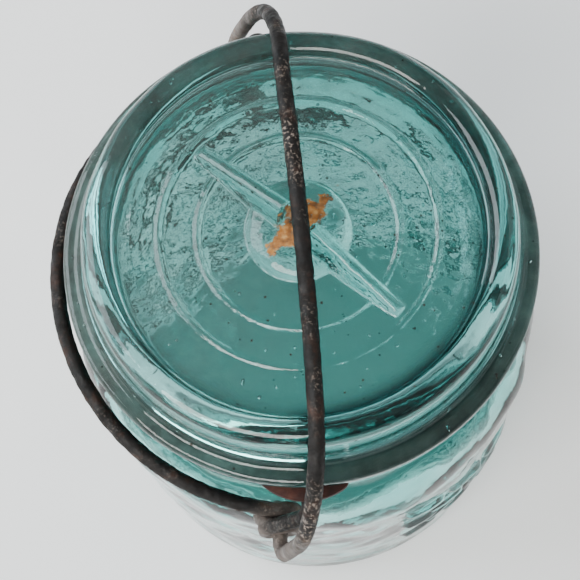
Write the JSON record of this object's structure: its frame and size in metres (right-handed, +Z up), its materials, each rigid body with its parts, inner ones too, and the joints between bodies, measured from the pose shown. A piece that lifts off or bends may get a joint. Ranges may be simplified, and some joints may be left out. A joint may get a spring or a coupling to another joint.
{
  "type": "glass-top storage jar",
  "caption": "Round glass canning jar with a glass lid, rubber ring and a lever-and-bail wire closure that clamps the lid through two cast ramps.",
  "frame": {"origin": "middle of the flat ring the jar stands on", "axes": "+Z up along the jar's axis; the bail spans Y and the lever's hoop is on the -X side"},
  "size_m": [0.0902, 0.1032, 0.1354],
  "materials": {
    "jar_glass": "aqua glass, wavy, with small bubbles",
    "lid_glass": "aqua glass, wavy, stained with rust in the notch",
    "rubber": "matt, aged",
    "wire": "rusted iron wire with worn grey patches"
  },
  "bodies": {
    "jar": {"jar": "jar_glass", "rubber_ring": "rubber"},
    "lid": {"lid": "lid_glass"},
    "lever": {"lever": "wire"},
    "bail": {"bail": "wire"}
  },
  "joints": [
    {"name": "lever_swing", "type": "hinge", "parent": "jar", "child": "lever", "pos_m": [-0.003, 0, 0.1074], "axis": [0, 1, 0], "range_deg": [0, 90]},
    {"name": "bail_swing", "type": "hinge", "parent": "lever", "child": "bail", "pos_m": [-0.009, 0, 0.0945], "axis": [0, 1, 0], "range_deg": [-211.5, 0]},
    {"name": "lid_lift", "type": "slide", "parent": "jar", "child": "lid", "axis": [0, 0, 1], "range_m": [0, 0.0018]}
  ],
  "couplings": [
    {"joint": "bail_swing", "follows": "lever_swing", "ratio": -2.35},
    {"joint": "lid_lift", "follows": "lever_swing", "m_per_rad": 0.001145}
  ]
}
